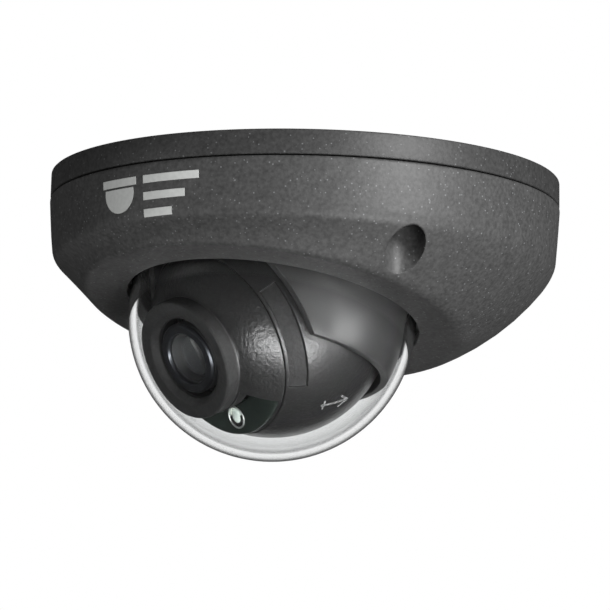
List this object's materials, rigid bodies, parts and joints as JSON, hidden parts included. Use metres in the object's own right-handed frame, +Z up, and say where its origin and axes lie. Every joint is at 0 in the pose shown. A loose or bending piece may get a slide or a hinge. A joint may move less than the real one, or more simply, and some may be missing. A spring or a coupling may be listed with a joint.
{
  "type": "dome security camera",
  "caption": "Ceiling-mounted wedge dome camera: round cast housing, clear dome leaning forward, and a gimballed camera ball with lens and infra-red lamp.",
  "frame": {"origin": "centre of the round mounting face that lies against the ceiling", "axes": "+Z up, out of the mounting face into the ceiling; -Y towards the front, where the dome leans; +X to the right of someone looking from behind the camera towards its front"},
  "size_m": [0.1066, 0.1066, 0.0611],
  "materials": {
    "cover_paint": "fine textured powder coat",
    "base_paint": "fine textured powder coat, a little darker",
    "clear_polycarbonate": "clear polycarbonate, polished",
    "led_epoxy": "clear epoxy lamp",
    "silicone": "moulded silicone",
    "black_steel": "blackened steel",
    "steel": "plated steel",
    "aluminium_can": "bare aluminium",
    "ball_finish": "spark-textured plastic",
    "liner_plastic": "smooth satin plastic",
    "black_plastic": "moulded black plastic",
    "board": "solder-masked glass epoxy",
    "chip": "moulded epoxy",
    "white_nylon": "natural nylon",
    "lens_glass": "coated optical glass",
    "filter_glass": "coated infra-red blocking glass"
  },
  "bodies": {
    "base": {"base_plate": "base_paint", "cover_housing": "cover_paint", "cover_gasket": "silicone", "screw_seal_1": "silicone", "screw_seal_2": "silicone", "screw_seal_3": "silicone", "cover_screw_1": "black_steel", "cover_screw_2": "black_steel", "cover_screw_3": "black_steel", "dome_bubble": "clear_polycarbonate", "dome_gasket": "silicone", "dome_retainer": "steel", "retainer_screw_1": "steel", "retainer_screw_2": "steel", "retainer_screw_3": "steel", "retainer_screw_4": "steel", "pan_seat_ring": "black_plastic", "pan_keeper_ring": "steel", "pan_friction_ring": "white_nylon", "gimbal_screw_1": "steel", "gimbal_screw_2": "steel", "gimbal_screw_3": "steel", "cable_grommet": "silicone", "main_board": "board", "board_screw_1": "steel", "board_screw_2": "steel", "board_screw_3": "steel", "board_screw_4": "steel", "processor": "chip", "power_inductor": "chip", "capacitor_1": "aluminium_can", "capacitor_2": "aluminium_can", "lead_connector": "white_nylon", "ribbon_socket": "white_nylon", "card_socket": "steel", "reset_switch": "steel"},
    "pan_carrier": {"inner_liner": "liner_plastic", "tilt_pin_left": "steel", "tilt_pin_right": "steel", "tilt_washer_left": "white_nylon", "tilt_washer_right": "white_nylon"},
    "ball": {"ball_shell": "ball_finish", "ball_rear_cover": "black_plastic"},
    "lens_module": {"front_shell": "ball_finish", "roll_retainer": "steel", "lens_barrel": "black_plastic", "lens_front_ring": "black_steel", "lens_front_glass": "lens_glass", "lens_rear_glass": "lens_glass", "lens_lock_ring": "black_plastic", "lens_holder": "black_plastic", "filter_actuator": "black_steel", "sensor_board": "board", "image_sensor": "chip", "ir_led_board": "board", "ir_led": "led_epoxy"},
    "filter": {"ir_cut_carriage": "black_plastic", "ir_cut_filter": "filter_glass"},
    "card": {"memory_card": "chip"},
    "reset_button": {"reset_plunger": "black_plastic"}
  },
  "joints": [
    {"name": "pan", "type": "hinge", "parent": "base", "child": "pan_carrier", "pos_m": [0, -0.0095, -0.03106], "axis": [0, 0.1959, 0.9806], "range_deg": [-165, 190]},
    {"name": "tilt", "type": "hinge", "parent": "pan_carrier", "child": "ball", "pos_m": [0, -0.0095, -0.03106], "axis": [0.9763, -0.2122, 0.0424], "range_deg": [-10, 51]},
    {"name": "roll", "type": "hinge", "parent": "ball", "child": "lens_module", "pos_m": [0, -0.0095, -0.03106], "axis": [-0.1682, -0.8673, -0.4685], "range_deg": [-164, 176]},
    {"name": "filter_slide", "type": "slide", "parent": "lens_module", "child": "filter", "axis": [0.9852, -0.164, -0.0501], "range_m": [0, 0.0064]},
    {"name": "card_slide", "type": "slide", "parent": "base", "child": "card", "axis": [-1, 0, 0], "range_m": [0, 0.012]},
    {"name": "reset_press", "type": "slide", "parent": "base", "child": "reset_button", "axis": [0, 0, 1], "range_m": [0, 0.0005], "stiffness_N_per_m": 2000, "springref_m": -0.0003}
  ]
}
